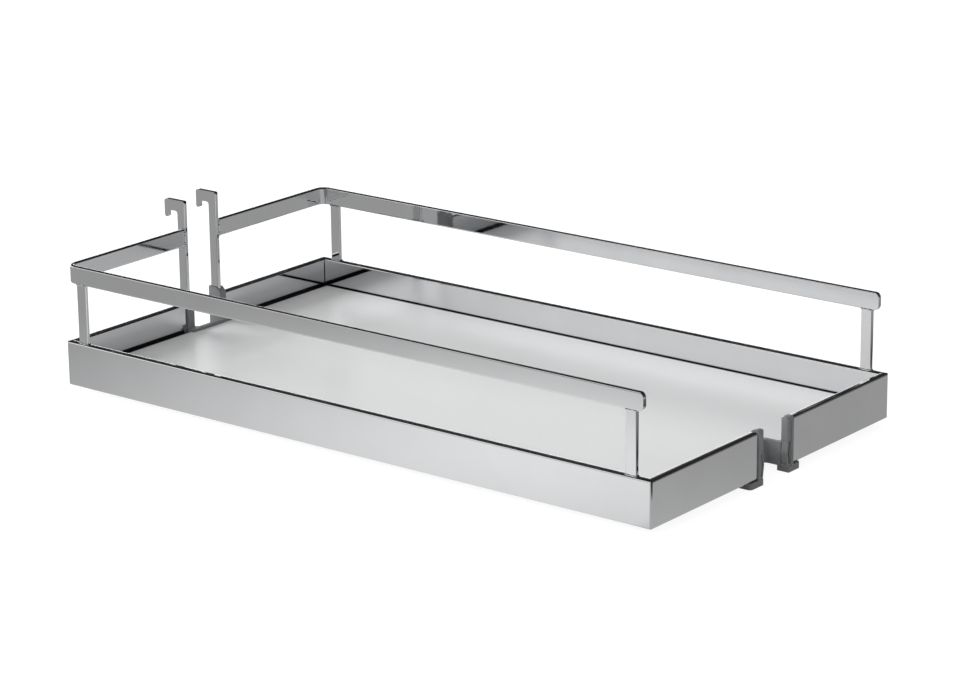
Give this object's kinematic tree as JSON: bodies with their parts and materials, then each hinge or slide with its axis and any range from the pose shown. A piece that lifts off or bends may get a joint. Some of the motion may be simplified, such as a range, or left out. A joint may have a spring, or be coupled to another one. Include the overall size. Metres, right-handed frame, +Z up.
{
  "type": "hang-in tray of a pull-out larder",
  "caption": "Hang-in shelf tray of a pull-out larder: chromed tube walls and gallery rail round a coated board, with rear hooks and moulded clips that grip the frame's uprights.",
  "frame": {"origin": "under the middle of the whole part's box, on the surface that the clips' feet stand on", "axes": "+X along the tray from the rear hooks towards the front spring clip; +Y across the tray, towards the side that is far from the camera in the picture; +Z up"},
  "size_m": [0.482, 0.256, 0.1049],
  "materials": {
    "chrome_steel": "bright chrome plate on steel tube and flat bar",
    "coated_board": "smooth pale silver-grey melamine coating",
    "clip_plastic": "finely textured dark grey moulding",
    "zinc_screws": "bright zinc plate"
  },
  "bodies": {
    "tray": {"wall_side_near": "chrome_steel", "wall_side_far": "chrome_steel", "wall_front_near": "chrome_steel", "wall_front_far": "chrome_steel", "wall_rear_near": "chrome_steel", "wall_rear_far": "chrome_steel", "rail_near": "chrome_steel", "rail_far": "chrome_steel", "post_front_near": "chrome_steel", "post_front_far": "chrome_steel", "post_rear_near": "chrome_steel", "post_rear_far": "chrome_steel", "hook_upright_near": "chrome_steel", "hook_upright_far": "chrome_steel", "floor_board": "coated_board", "cross_strut_front": "chrome_steel", "cross_strut_middle": "chrome_steel", "cross_strut_rear": "chrome_steel", "front_clip": "clip_plastic", "rear_clip": "clip_plastic", "board_screws": "zinc_screws", "clip_screws": "zinc_screws"},
    "leaf_near": {"front_leaf_near": "clip_plastic"},
    "leaf_far": {"front_leaf_far": "clip_plastic"}
  },
  "joints": [
    {"name": "leaf_near_flex", "type": "slide", "parent": "tray", "child": "leaf_near", "axis": [0, -1, 0], "range_m": [0, 0.0008], "stiffness_N_per_m": 4000},
    {"name": "leaf_far_flex", "type": "slide", "parent": "tray", "child": "leaf_far", "axis": [0, 1, 0], "range_m": [0, 0.0008], "stiffness_N_per_m": 4000}
  ]
}
